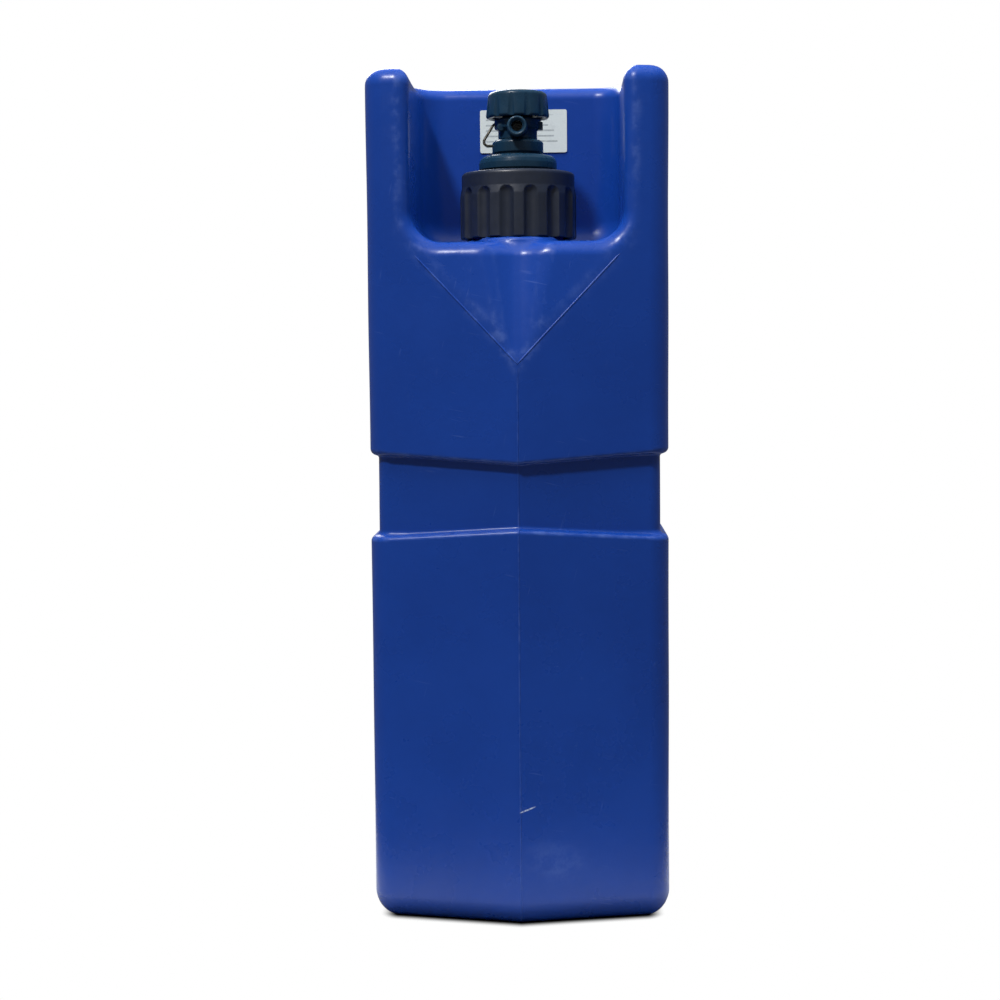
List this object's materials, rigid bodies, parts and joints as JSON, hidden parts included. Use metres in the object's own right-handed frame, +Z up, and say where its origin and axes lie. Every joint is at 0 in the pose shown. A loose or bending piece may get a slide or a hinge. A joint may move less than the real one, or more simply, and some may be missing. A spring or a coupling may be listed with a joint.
{
  "type": "jerry can",
  "caption": "Tall blow-moulded jerry can with a waist groove, carry handle, screw collars on both necks, outlet tap, filter cartridge and hand pump.",
  "frame": {"origin": "centre of the can's base, on the surface that it stands on", "axes": "+Z up, -Y towards the outlet end, +Y towards the pump end, X across the narrow width"},
  "size_m": [0.176, 0.3358, 0.5],
  "materials": {
    "blue_polyethylene": "satin",
    "black_collar_plastic": "satin",
    "dark_teal_plastic": "satin",
    "label_paper": "matte",
    "black_rubber": "matte",
    "white_nylon": "satin",
    "grey_plastic": "satin",
    "filter_foam": "matte",
    "stainless_steel": "satin"
  },
  "bodies": {
    "can": {"can_body": "blue_polyethylene", "blank_label": "label_paper", "outlet_neck_seal": "black_rubber", "outlet_base": "dark_teal_plastic", "tap_lock_nut": "dark_teal_plastic", "tap_body": "dark_teal_plastic", "spout_nozzle": "dark_teal_plastic", "tap_bonnet": "dark_teal_plastic", "stem_o_ring": "black_rubber", "keeper_wire": "stainless_steel", "cartridge_head": "grey_plastic", "cartridge_seal": "black_rubber", "cartridge_cage": "grey_plastic", "prefilter_sleeve": "filter_foam", "fibre_bundle": "white_nylon", "potting_disc": "white_nylon", "cage_end_cap": "grey_plastic", "pump_neck_seal": "black_rubber", "pump_head": "dark_teal_plastic", "rod_bush": "white_nylon", "rod_wiper": "black_rubber", "pump_cylinder": "grey_plastic", "pump_foot_cap": "grey_plastic", "foot_valve_spring": "stainless_steel"},
    "outlet_ring": {"outlet_slip_ring": "white_nylon"},
    "outlet_cap": {"outlet_collar": "black_collar_plastic"},
    "tap_handle": {"tap_knob": "dark_teal_plastic", "knob_screw": "stainless_steel", "valve_stem": "stainless_steel", "valve_plug": "white_nylon"},
    "pump_ring": {"pump_slip_ring": "white_nylon"},
    "pump_cap": {"pump_collar": "black_collar_plastic"},
    "piston": {"pump_piston": "white_nylon", "piston_cup_seal": "black_rubber"},
    "plunger": {"pump_rod": "stainless_steel", "piston_nut": "stainless_steel", "pump_handle": "black_collar_plastic", "handle_pin": "stainless_steel"},
    "foot_valve": {"foot_valve_disc": "black_rubber"}
  },
  "joints": [
    {"name": "outlet_collar_rise", "type": "slide", "parent": "can", "child": "outlet_ring", "axis": [0, 0, 1], "range_m": [0, 0.009]},
    {"name": "outlet_collar_turn", "type": "hinge", "parent": "outlet_ring", "child": "outlet_cap", "pos_m": [0, -0.11, 0.42], "axis": [0, 0, 1], "range_deg": [0, 540]},
    {"name": "tap_knob_turn", "type": "hinge", "parent": "can", "child": "tap_handle", "pos_m": [0, -0.11, 0.485], "axis": [0, 0, 1], "range_deg": [0, 90]},
    {"name": "pump_collar_rise", "type": "slide", "parent": "can", "child": "pump_ring", "axis": [0, 0, 1], "range_m": [0, 0.009]},
    {"name": "pump_collar_turn", "type": "hinge", "parent": "pump_ring", "child": "pump_cap", "pos_m": [0, 0.11, 0.42], "axis": [0, 0, 1], "range_deg": [0, 540]},
    {"name": "pump_stroke", "type": "slide", "parent": "can", "child": "piston", "axis": [0, 0, 1], "range_m": [0, 0.17]},
    {"name": "pump_handle_twist", "type": "hinge", "parent": "piston", "child": "plunger", "pos_m": [0, 0.11, 0.474], "axis": [0, 0, 1], "range_deg": [0, 90]},
    {"name": "foot_valve_open", "type": "slide", "parent": "can", "child": "foot_valve", "axis": [0, 0, -1], "range_m": [0, 0.002], "stiffness_N_per_m": 50, "springref_m": -0.004, "deforming": ["foot_valve_spring"]}
  ],
  "couplings": [
    {"joint": "outlet_collar_rise", "follows": "outlet_collar_turn", "m_per_rad": 0.00095493},
    {"joint": "pump_collar_rise", "follows": "pump_collar_turn", "m_per_rad": 0.00095493}
  ]
}
